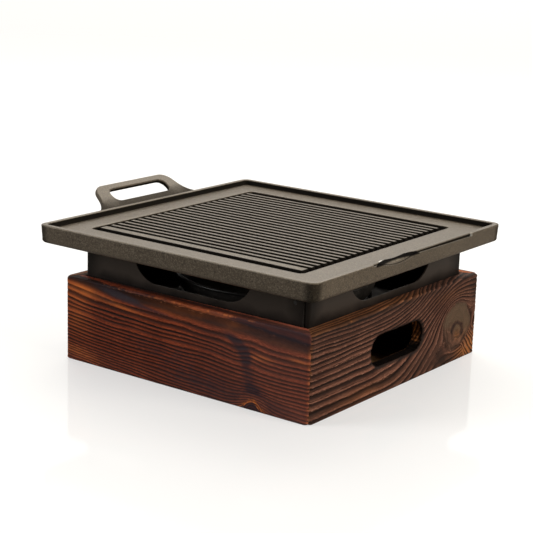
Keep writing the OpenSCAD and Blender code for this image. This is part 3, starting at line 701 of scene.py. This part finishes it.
            # centre line direction in the board's face for a rough sawn wall
            pa = np.clip(p[:, 0] - sa, -hl, hl) + sa
            d = np.stack([p[:, 0] - pa, 0 * pa, p[:, 2] - sz], -1)
            d /= np.maximum(np.linalg.norm(d, axis=1), 1e-6)[:, None]
            arc = np.arctan2(p[:, 2] - sz, p[:, 0] - sa) * 12
            nz = 0.22 * vnoise(arc * 1.6, per * 0 + t * 6, seed + 90) + 0.12 * vnoise(arc * 6, per * 0 + t * 3, seed + 91)
            p = p + d * (nz * math.sin(math.pi * t))[:, None]
            layers.append(base + len(extra_v) + per)
            extra_v += p.tolist()
            # painted shade: the slot's walls go near black except for a painted lit patch on the end wall, where their
            # less charred orange shows
            ck = {"ring": arc * 0.42 + 3 * t, "along": p[:, 0] * 0 + t * 9, "tone": 1.45 - 1.45 * smooth(1.0, 2.8, 0 * arc + t * 9) * smooth(9.2, 8.0, 0 * arc + t * 9) * smooth(0.25, 0.7, d[:, 0]) * smooth(-0.85, -0.40, d[:, 2]) + 0.2 * vnoise(arc, per * 0 + t * 4, seed + 92),
                  "warm": 0 * arc + 1.0 * (0.75 + 0.25 * vnoise(arc * 2.2, per * 0 + t * 2, seed + 93)), "grey": 0 * arc, "inside": 0 * arc, "fade": 0 * arc}
            extra_attr.append(ck)
        layers.append(np.array(other))
        for k in range(K):
            A, B = layers[k], layers[k + 1]
            A2, B2 = np.roll(A, -1), np.roll(B, -1)
            extra_f += np.stack([A, B, B2, A2], -1)[:, ::-1].tolist()
    q = q[keep]
    faces = q[:, ::-1].tolist()
    faces += [idx[:, 0].tolist(), idx[::-1, -1].tolist()] + extra_f
    attrs = {"ring": ring.ravel(), "along": a.ravel(), "tone": np.clip(tone, 0, 1.0).ravel(), "warm": warm.ravel(),
             "grey": grey.ravel(), "inside": inside.ravel(), "fade": (fade + 0 * a).ravel()}
    if extra_v:
        verts = np.concatenate([verts, np.array(extra_v)])
        for key in attrs:
            attrs[key] = np.concatenate([attrs[key]] + [e[key] for e in extra_attr])
    ang = math.radians(turn)
    c, s = math.cos(ang), math.sin(ang)
    v = verts.copy()
    v[:, 0], v[:, 1] = verts[:, 0] * c - verts[:, 1] * s, verts[:, 0] * s + verts[:, 1] * c
    used = np.zeros(len(v), bool)
    for f in faces:
        used[f] = True
    remap = np.cumsum(used) - 1
    faces = [[int(remap[i]) for i in f] for f in faces]
    o = mesh_object(name, v[used], faces, material, attrs={k: np.asarray(val)[used] for k, val in attrs.items()})
    import bmesh
    bm = bmesh.new()
    bm.from_mesh(o.data)
    bmesh.ops.recalc_face_normals(bm, faces=bm.faces)
    bm.to_mesh(o.data)
    bm.free()
    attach(o, "frame")
    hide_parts(node)
    return o


SLOT = (-1.9, 28.1, 60.0, 20.4)
make_board("front_board", "frame_front_board", FRONT_WOOD, front_figure, 0, 11, 0.62)
make_board("right_board", "frame_right_board", SIDE_WOOD, side_figure, 90, 13, 0.62, slot=SLOT, depth=0.62)
make_board("rear_board", "frame_rear_board", FRONT_WOOD, plain_figure(5, False), 180, 15, 0.9)
make_board("left_board", "frame_left_board", SIDE_WOOD, plain_figure(9, True), -90, 17, 0.8, slot=SLOT)


# ---------------------------------------------------------------- grill plate
def make_plate():
    pitch, rib_w, first, count = 6.45, 3.8, 77.2, 23
    rx0, rx1, wx0, wx1, wy0, wy1 = -83.0, 76.5, -85.0, 80.2, -81.8, 85.6
    wide = (-76.5, -69.2)
    gd = 2.5
    inner = PW - 8.0                      # the ring joins the flat deck here
    # heights across an edge: distance from the top of the wall -> share of the drop
    ed = np.array([-0.80, -0.55, -0.32, -0.14, 0.0, 0.14, 0.28, 0.46, 0.75])
    es = np.array([0.0, 0.012, 0.045, 0.14, 0.36, 0.68, 0.88, 0.97, 1.0])

    def share(d):
        return np.interp(d, ed, es)
    ys = set()
    for k in range(count):
        c = first - k * pitch
        for s in (-1, 1):
            for e in ed:
                ys.add(round(c + s * (rib_w / 2 + e), 3))
        ys.add(round(c, 3))
        ys.add(round(c - pitch / 2, 3))
    for e in ed:
        ys.add(round(wide[0] - e, 3)); ys.add(round(wide[1] + e, 3))
        ys.add(round(wy0 - 0.2 + e, 3)); ys.add(round(wy1 + 0.2 - e, 3))
    for w in (wy0, wy1):
        for k in range(6):
            ys.add(round(w + (1 if w < 0 else -1) * (0.6 + 0.6 * k), 3))
    for y in (-98.0, -96.8, -95.6, -94.4, -93.2, -92, -88, -74.5, -72.8, -71.1, 88.5, 92, 93.2, 94.4, 95.6, 96.8, 98.0):
        ys.add(y)
    xs = set()
    for e in ed:
        xs.add(round(rx0 - e, 3)); xs.add(round(rx1 + e, 3))
        xs.add(round(wx0 - 0.2 + e, 3)); xs.add(round(wx1 + 0.2 - e, 3))
    for w in (wx0, wx1):
        for k in range(6):
            xs.add(round(w + (1 if w < 0 else -1) * (0.6 + 0.6 * k), 3))
    for x in list(np.arange(-76, 73, 8.0)) + [-98.0, -96.8, -95.6, -94.4, -93.2, -92, -88.5, 84.5, 88.5, 92, 93.2, 94.4, 95.6, 96.8, 98.0]:
        xs.add(round(float(x), 3))

    def tidy(values):
        v = sorted(x for x in values if abs(x) < inner - 0.3)
        out = [-inner]
        for x in v:
            if x - out[-1] > 0.1:
                out.append(x)
        out.append(inner)
        return np.array(out)
    ys, xs = tidy(ys), tidy(xs)
    X, Y = np.meshgrid(xs, ys)

    def rbox(x, y, x0, x1, y0, y1, r):
        dx = np.abs(x - (x0 + x1) / 2) - (x1 - x0) / 2 + r
        dy = np.abs(y - (y0 + y1) / 2) - (y1 - y0) / 2 + r
        return np.hypot(np.maximum(dx, 0), np.maximum(dy, 0)) + np.minimum(np.maximum(dx, dy), 0) - r
    well = share(-rbox(X, Y, wx0 - 0.2, wx1 + 0.2, wy0 - 0.2, wy1 + 0.2, 3.5) - 0.0)
    k = np.clip(np.round((first - Y) / pitch), 0, count - 1)
    rib_c = first - k * pitch
    d = rbox(X, Y - rib_c, rx0, rx1, -rib_w / 2, rib_w / 2, 0.7)
    d = np.minimum(d, rbox(X, Y, rx0, rx1, wide[0], wide[1], 0.9))
    drop = np.minimum(well, share(d))
    Z = DECK_Z - gd * drop + 0.02 * vnoise(X / 9.0, Y / 9.0, 5)
    ny, nx = X.shape
    V = [np.stack([X, Y, Z], -1).reshape(-1, 3)]
    # painted shade in the grooves between the ribs and along the well's shoulder
    shoulder = np.maximum(smooth(-0.92, -0.42, d) * smooth(-0.2, 0.4, -rbox(X, Y, wx0 - 0.2, wx1 + 0.2, wy0 - 0.2, wy1 + 0.2, 3.5)), 0)
    G = [np.maximum(smooth(0.03, 0.22, drop), shoulder).ravel()]
    idx = np.arange(ny * nx).reshape(ny, nx)
    faces = np.stack([idx[:-1, :-1], idx[:-1, 1:], idx[1:, 1:], idx[1:, :-1]], -1).reshape(-1, 4).tolist()
    # boundary of the deck, counter-clockwise from the lower right corner
    bi = list(idx[:-1, -1]) + list(idx[-1, :0:-1]) + list(idx[:0:-1, 0]) + list(idx[0, :-1])
    bp = V[0][bi][:, :2]
    n = len(bi)

    def outline(p, off, rad):
        """A point of the deck's boundary carried out to the plate's outline, off inside the nominal edge."""
        h = PW - off
        rad = max(rad, 0.05)
        q = np.zeros_like(p)
        k0 = inner - 5.6
        side_x = np.abs(np.abs(p[:, 0]) - inner) < 1e-6
        s = np.where(side_x, p[:, 1], p[:, 0])
        t = np.clip((np.abs(s) - k0) / (inner - k0), 0, 1) * math.pi / 4
        main = np.where(t > 0, h - rad + rad * np.cos(t), h)
        other = np.where(t > 0, np.sign(s) * (h - rad + rad * np.sin(t)), s / k0 * (h - rad))
        # keep straight runs where they are so that columns stay square to the side
        lin = np.clip((np.abs(s) - (k0 - 9)) / 9.0, 0, 1)
        other = np.where(t > 0, other, np.sign(s) * (np.abs(s) + lin * lin * ((h - rad) - k0)))
        sx = np.sign(p[:, 0]); sy = np.sign(p[:, 1])
        q[:, 0] = np.where(side_x, sx * main, other)
        q[:, 1] = np.where(side_x, other, sy * main)
        return q
    step_z = RIM_Z - 1.0
    draft = math.tan(math.radians(3))
    er = 2.5
    rings = []                            # (offset, z, corner radius, code)
    for off, zz, rad in ((7.0, DECK_Z, 0.6), (5.6, DECK_Z, 1.4), (4.55, DECK_Z + 0.0, 2.3), (4.1, DECK_Z + 0.07, 2.6), (3.78, DECK_Z + 0.32, 2.85),
                         (3.66, DECK_Z + 0.8, 3.0), (3.60, RIM_Z - 1.2, 3.05), (3.56, RIM_Z - 0.6, 3.1), (3.46, RIM_Z - 0.26, 3.2), (3.22, RIM_Z - 0.06, 3.4), (2.9, RIM_Z, 3.6),
                         (2.55, RIM_Z, 3.8), (2.2, RIM_Z + 0.0, 4.0), (1.85, RIM_Z, 4.15), (1.5, RIM_Z, 4.3), (1.15, RIM_Z, 4.5), (0.85, RIM_Z - 0.02, 4.7), (0.48, RIM_Z - 0.12, 4.9), (0.18, RIM_Z - 0.36, 5.1), (0.04, RIM_Z - 0.68, 5.2)):
        rings.append((off, zz, rad, "t"))
    rings.append((0.05, None, 5.2, "s0"))
    rings.append((0.06, None, 5.2, "s1"))
    for zz in (RIM_Z - 3.0, RIM_Z - 4.4, RIM_Z - 5.8, RIM_Z - 7.2, RIM_Z - 8.4):
        rings.append((draft * (RIM_Z - zz), zz, 5.2, "w"))
    base_off = draft * (RIM_Z - SKIRT_Z - er)
    for k in range(0, 7):
        t = math.pi / 2 * k / 6
        rings.append((base_off + er * (1 - math.cos(t)), SKIRT_Z + er - er * math.sin(t), 5.0 - 0.3 * k, "b"))
    for off, zz, rad in ((4.1, SKIRT_Z, 2.6), (4.55, SKIRT_Z + 0.08, 2.4), (4.84, SKIRT_Z + 0.36, 2.2), (4.9, SKIRT_Z + 0.8, 2.1), (4.9, BOX_TOP - 0.8, 2.1), (5.0, BOX_TOP - 0.25, 2.0), (5.4, BOX_TOP, 1.8)):
        rings.append((off, zz, rad, "u"))
    prev = np.array(bi)
    count_v = ny * nx
    on_x = (bp[:, 0] > inner - 1e-6)
    for off, zz, rad, code in rings:
        q = outline(bp, off, rad)
        px_side = q[:, 0] > PW - 12
        px_side &= on_x | (np.abs(q[:, 1]) < PW - 8)
        yy = q[:, 1]
        # the shallow step along the pouring side
        line = step_z - 1.1 * np.clip((yy + 47) / 115, 0, 1)
        stepped = np.where(on_x, smooth(-48.0, -46.6, yy) * smooth(68.6, 67.4, yy), 0.0)
        if code == "s0":
            z = line + 0.14
        elif code == "s1":
            z = line - 0.14
        else:
            z = np.full(n, float(zz))
        inset = np.zeros(n)
        if code in ("s0",) or (code == "t" and zz > RIM_Z - 1.0 and off < 2.0):
            inset = 0.75 * stepped * (1.0 if off < 0.9 else 0.45)
        q = q.copy()
        q[:, 0] = np.where(on_x, q[:, 0] - inset, q[:, 0])
        # pouring lip: a slanting scoop out of the rim
        dist = np.hypot(q[:, 0] - (PW + 61.5), q[:, 1] + 20.5)
        zc = RIM_Z - 4.6 + (dist - 61.4)
        over = z - zc
        soft = 0.25
        lower = np.where(over > -1.5, 0.5 * (over + np.sqrt(over * over + soft * soft)) - 0.03, 0.0)
        lower = np.where(on_x & (dist < 68.5) & (q[:, 0] > PW - 4.5), np.clip(lower, 0, 5), 0.0)
        z = z - lower * 0.985
        V.append(np.stack([q[:, 0], q[:, 1], z], -1))
        # painted shade: the rim's inner wall near black, the deck fillet darker, the rebate's line dark and the walls
        # darker toward each corner
        dark = np.full(n, {True: 0.97, False: 0.0}[code == "t" and 3.5 < off < 4.2] if off < 4.2 or code != "t" else (0.35 if off < 4.6 and zz > DECK_Z - 0.01 else 0.0))
        if code == "s0" or (code == "t" and off < 0.1):
            dark = np.maximum(dark, 0.97 * stepped)
        if code in ("w", "s0", "s1", "b") or (code == "t" and off < 0.6):
            turned = smooth(PW - 10.0, PW - 4.0, np.minimum(np.abs(q[:, 0]), np.abs(q[:, 1])))
            dark = np.maximum(dark, (0.75 if code != "t" else 0.30) * turned)
        G.append(dark)
        cur = count_v + np.arange(n)
        count_v += n
        faces += np.stack([prev, cur, np.roll(cur, -1), np.roll(prev, -1)], -1).tolist()
        prev = cur
    # ceiling of the hollow underside: the same outline drawn in to a fan of quads
    ceil = [0.92, 0.8, 0.62, 0.42, 0.22]
    last = V[-1]
    for s in ceil:
        V.append(np.stack([last[:, 0] * s, last[:, 1] * s, np.full(n, BOX_TOP)], -1))
        G.append(np.zeros(n))
        cur = count_v + np.arange(n)
        count_v += n
        faces += np.stack([prev, cur, np.roll(cur, -1), np.roll(prev, -1)], -1).tolist()
        prev = cur
    V.append(np.array([[0.0, 0.0, BOX_TOP]]))
    G.append(np.zeros(1))
    centre = count_v
    nxt = np.roll(prev, -1)
    faces += [[int(a), centre, int(b)] for a, b in zip(prev, nxt)]
    verts = np.concatenate(V)
    verts[:, 0] += PCX
    verts[:, 1] += PCY
    return verts, faces, np.concatenate(G)


pv, pf, pg = make_plate()
plate = mesh_object("grill_plate_casting", pv, pf, PLATE, attrs={"groove": pg})


def make_handle():
    """Loop handle: a flat cast ring with rounded edges, wider where it flows into the rim."""
    reach, half, tilt, thick = 22.3, 38.5, math.radians(32), 3.2
    lean, out_r, straight = math.radians(17), 10.0, 4.2
    cs, cy = reach - out_r, half - out_r * math.cos(lean)
    s2 = cs + out_r * math.sin(lean)
    s1 = s2 - straight
    y1 = half + straight * math.tan(lean)
    rr = (s1 + 0.3) / (1 - math.sin(lean))
    rs, ry = s1 + rr * math.sin(lean), y1 + rr * math.cos(lean)
    pts = [(-2.4, y) for y in np.linspace(0, ry - 4, 16)]
    pts += [(-2.4 + 0.5 * k, ry - 3 + 0.4 * k) for k in range(0)]
    th0, th1 = math.pi, 3 * math.pi / 2 - lean
    # root fillet: from the wall round to the leaning side
    for t in np.linspace(math.pi, math.pi + (math.pi / 2 - lean), 14):
        pts.append((rs + rr * math.cos(t), ry + rr * math.sin(t)))
    for k in (1, 2, 3):
        pts.append((s1 + (s2 - s1) * k / 4, y1 + (half - y1) * k / 4))
    for t in np.linspace(math.pi / 2 - lean, 0, 16):
        pts.append((cs + out_r * math.cos(t), cy + out_r * math.sin(t)))
    for y in np.linspace(cy, 0, 16)[1:]:
        pts.append((reach, y))
    right = np.array(pts)
    left = right[::-1][1:-1].copy()
    left[:, 1] *= -1
    O = np.concatenate([right, left])
    hx0, hx1, hy, hr, hc = 5.9, reach - 5.2, half - 10.5, 4.8, 0.6
    c = np.array([(hx0 + hx1) / 2, hc])

    def hole_hit(d):
        """Distance from the hole's middle to its rounded outline along each direction."""
        lo, hi = np.zeros(len(d)), np.full(len(d), 60.0)
        for _ in range(40):
            m = (lo + hi) / 2
            p = d * m[:, None]
            dx = np.abs(p[:, 0]) - (hx1 - hx0) / 2 + hr
            dy = np.abs(p[:, 1]) - hy + hr
            s = np.hypot(np.maximum(dx, 0), np.maximum(dy, 0)) + np.minimum(np.maximum(dx, dy), 0) - hr
            lo, hi = np.where(s < 0, m, lo), np.where(s < 0, hi, m)
        return lo
    ang = np.linspace(0, 2 * math.pi, 97)[:-1]
    d = np.stack([np.cos(ang), np.sin(ang) * 2.2], -1)
    d /= np.linalg.norm(d, axis=1)[:, None]
    H = c + d * hole_hit(d)[:, None]

    def normals(L):
        tan = np.roll(L, -1, 0) - np.roll(L, 1, 0)
        nn = np.stack([tan[:, 1], -tan[:, 0]], -1)
        nn /= np.maximum(np.linalg.norm(nn, axis=1), 1e-9)[:, None]
        area2 = np.sum(L[:, 0] * np.roll(L[:, 1], -1) - np.roll(L[:, 0], -1) * L[:, 1])
        return nn if area2 > 0 else -nn
    er = 0.85
    prof = [(er + 0.35, 0.0)] + [(er * (1 - math.sin(t)), -er * (1 - math.cos(t))) for t in np.linspace(0, math.pi / 2, 6)]
    prof += [(ins, -thick - hgt) for ins, hgt in prof[::-1]]
    import bmesh
    bm = bmesh.new()
    rows, shade = [], []
    for base, nn, hole in ((O, normals(O), 0.0), (H, -normals(H), 1.0)):
        loops = []
        for inset, hgt in prof:
            p = base - nn * inset
            xw = -PW - p[:, 0] * math.cos(tilt) + hgt * math.sin(tilt)
            zw = RIM_Z - 0.8 + p[:, 0] * math.sin(tilt) + hgt * math.cos(tilt)
            # painted shade: the whole handle a little darker, more toward its root, and the hole's inner wall near
            # black
            shade.append(np.maximum(0.10 + 0.62 * smooth(11.0, 3.0, p[:, 0]), 0.93 * hole * (-thick + 0.5 < hgt < -0.6)))
            loops.append([bm.verts.new((x + PCX, y + 0.4 + PCY, z)) for x, y, z in zip(xw, p[:, 1], zw)])
        for A, B in zip(loops, loops[1:]):
            for i in range(len(A)):
                j = (i + 1) % len(A)
                bm.faces.new((A[i], A[j], B[j], B[i]))
        rows.append((loops[0], loops[-1]))
    for which in (0, 1):
        edges = []
        for r in rows:
            L = r[which]
            for i in range(len(L)):
                edges.append(bm.edges.get((L[i], L[(i + 1) % len(L)])))
        bmesh.ops.triangle_fill(bm, use_beauty=True, use_dissolve=False, edges=edges)
    bmesh.ops.recalc_face_normals(bm, faces=bm.faces)
    bm.verts.index_update()
    V = np.array([v.co[:] for v in bm.verts])
    F = [[v.index for v in f.verts] for f in bm.faces]
    bm.free()
    return V, F, np.concatenate(shade)


hv, hf, hg = make_handle()
handle = mesh_object("grill_plate_handle", hv, hf, PLATE, attrs={"groove": hg})


def lathe(profile, segments, cx=0.0, cy=0.0):
    """A closed solid of revolution from (radius, z) points; the ends of the profile are on the axis."""
    V, F = [], []
    ring_ids = []
    for r, z in profile:
        if r < 1e-6:
            ring_ids.append([len(V)])
            V.append((cx, cy, z))
        else:
            ids = []
            for k in range(segments):
                a = 2 * math.pi * k / segments
                ids.append(len(V))
                V.append((cx + r * math.cos(a), cy + r * math.sin(a), z))
            ring_ids.append(ids)
    for a, b in zip(ring_ids, ring_ids[1:]):
        for k in range(segments):
            k2 = (k + 1) % segments
            if len(a) == 1:
                F.append([a[0], b[k], b[k2]])
            elif len(b) == 1:
                F.append([a[k], b[0], a[k2]])
            else:
                F.append([a[k], b[k], b[k2], a[k2]])
    return np.array(V), F


sv, sf = [], []
for sx in (-1, 1):
    for sy in (-1, 1):
        v, f = lathe([(0, SKIRT_Z + 0.3), (3.2, SKIRT_Z + 0.3), (3.7, SKIRT_Z + 0.5), (3.95, SKIRT_Z + 0.95), (4.0, BOX_TOP - 0.6),
                      (4.4, BOX_TOP + 0.2), (0, BOX_TOP + 0.8)], 32, PCX + 77 * sx, PCY + 77 * sy)
        sf += [[i + 0 + sum(len(q) for q in sv) for i in face] for face in f]
        sv.append(v)
studs = mesh_object("grill_plate_studs", np.concatenate(sv), sf, PLATE)


def fix_normals(o):
    import bmesh
    bm = bmesh.new()
    bm.from_mesh(o.data)
    bmesh.ops.remove_doubles(bm, verts=bm.verts, dist=1e-6)
    bmesh.ops.recalc_face_normals(bm, faces=bm.faces)
    bm.to_mesh(o.data)
    bm.free()


for o, angle in ((plate, 50), (handle, 60), (studs, 50)):
    fix_normals(o)
    sharp_by_angle(o, angle)
    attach(o, "plate")
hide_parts("grill_plate")


# ---------------------------------------------------------------- stage, light, camera
def stage_plane():
    me = bpy.data.meshes.new("floor")
    s = 6.0
    me.from_pydata([(-s, -s, 0), (s, -s, 0), (s, s, 0), (-s, s, 0)], [], [(0, 1, 2, 3)])
    o = bpy.data.objects.new("floor", me)
    bpy.context.scene.collection.objects.link(o)
    t = Tree("floor_white")
    t.set(Base_Color=(0.42, 0.42, 0.42, 1), Roughness=0.07, Specular_IOR_Level=0.30)
    t.set(Emission_Color=(1, 1, 1, 1), Emission_Strength=0.50)
    # the floor looks white, but throws little light up under the grill
    quiet = t.add("ShaderNodeBsdfDiffuse", {"Color": (0.22, 0.215, 0.21, 1)})
    ray = t.add("ShaderNodeLightPath")
    both = t.add("ShaderNodeMixShader", {0: ray.outputs["Is Camera Ray"]})
    t.t.links.new(quiet.outputs[0], both.inputs[1])
    t.t.links.new(t.bsdf.outputs[0], both.inputs[2])
    t.t.links.new(both.outputs[0], t.out.inputs["Surface"])
    me.materials.append(t.m)
    return o


stage_plane()


def area(name, loc, target, size, power, size_y=None, colour=(1, 1, 1)):
    ld = bpy.data.lights.new(name, "AREA")
    ld.energy = power
    ld.color = colour
    ld.shape = "RECTANGLE"
    ld.size = size
    ld.size_y = size_y or size
    lo = bpy.data.objects.new(name, ld)
    bpy.context.scene.collection.objects.link(lo)
    lo.location = loc
    d = Vector(target) - Vector(loc)
    lo.rotation_mode = "QUATERNION"
    lo.rotation_quaternion = d.to_track_quat("-Z", "Y")
    return lo


area("top_back_softbox", (-0.50, 0.75, 1.05), (0, 0, 0.05), 1.3, 14.5, 0.9, (1.0, 0.95, 0.87))
area("right_softbox", (2.20, 0.10, 1.05), (0, 0, 0.05), 1.1, 53.0, 1.1, (1.0, 0.94, 0.84))
area("left_softbox", (-1.55, -1.75, 1.05), (0, 0, 0.05), 1.1, 37.5, 1.1)

world = bpy.data.worlds.new("studio")
bpy.context.scene.world = world
world.use_nodes = True
wt = world.node_tree
wt.nodes.clear()
wout = wt.nodes.new("ShaderNodeOutputWorld")
bg_cam = wt.nodes.new("ShaderNodeBackground")
bg_cam.inputs["Color"].default_value = (1, 1, 1, 1)
bg_cam.inputs["Strength"].default_value = 1.0
bg_lit = wt.nodes.new("ShaderNodeBackground")
tc = wt.nodes.new("ShaderNodeTexCoord")
sep = wt.nodes.new("ShaderNodeSeparateXYZ")
wt.links.new(tc.outputs["Generated"], sep.inputs[0])
dotn = wt.nodes.new("ShaderNodeVectorMath")
dotn.operation = "DOT_PRODUCT"
wt.links.new(tc.outputs["Generated"], dotn.inputs[0])
dotn.inputs[1].default_value = (-0.30, 0.62, 0.72)
ramp = wt.nodes.new("ShaderNodeValToRGB")
wt.links.new(dotn.outputs["Value"], ramp.inputs[0])
ramp.color_ramp.elements[0].position = 0.0
ramp.color_ramp.elements[0].color = (0.02, 0.02, 0.02, 1)
ramp.color_ramp.elements[1].position = 0.75
ramp.color_ramp.elements[1].color = (1, 0.965, 0.90, 1)
wt.links.new(ramp.outputs[0], bg_lit.inputs["Color"])
bg_lit.inputs["Strength"].default_value = 0.75
lp = wt.nodes.new("ShaderNodeLightPath")
mixw = wt.nodes.new("ShaderNodeMixShader")
wt.links.new(lp.outputs["Is Camera Ray"], mixw.inputs[0])
wt.links.new(bg_lit.outputs[0], mixw.inputs[1])
wt.links.new(bg_cam.outputs[0], mixw.inputs[2])
wt.links.new(mixw.outputs[0], wout.inputs["Surface"])

scene = bpy.context.scene
scene.view_settings.view_transform = "Standard"
scene.view_settings.look = "None"
scene.view_settings.exposure = 0.0
scene.view_settings.gamma = 1.0

cam_data = bpy.data.cameras.new("camera")
cam = bpy.data.objects.new("camera", cam_data)
scene.collection.objects.link(cam)
az, el, roll = math.radians(36.497), math.radians(14.301), math.radians(1.8)
back = Vector((math.sin(az) * math.cos(el), -math.cos(az) * math.cos(el), math.sin(el)))
side = Vector((0, 0, 1)).cross(back).normalized()
up = back.cross(side)
right = side * math.cos(roll) + up * math.sin(roll)
upr = -side * math.sin(roll) + up * math.cos(roll)
m = Matrix((right, upr, back)).transposed().to_4x4()
m.translation = Vector((0.555488, -0.761892, 0.300015))
cam.matrix_world = m
cam_data.sensor_fit = "HORIZONTAL"
cam_data.sensor_width = 36.0
cam_data.lens = 1495.634 / 533 * 36.0
cam_data.clip_start, cam_data.clip_end = 0.05, 50
scene.camera = cam
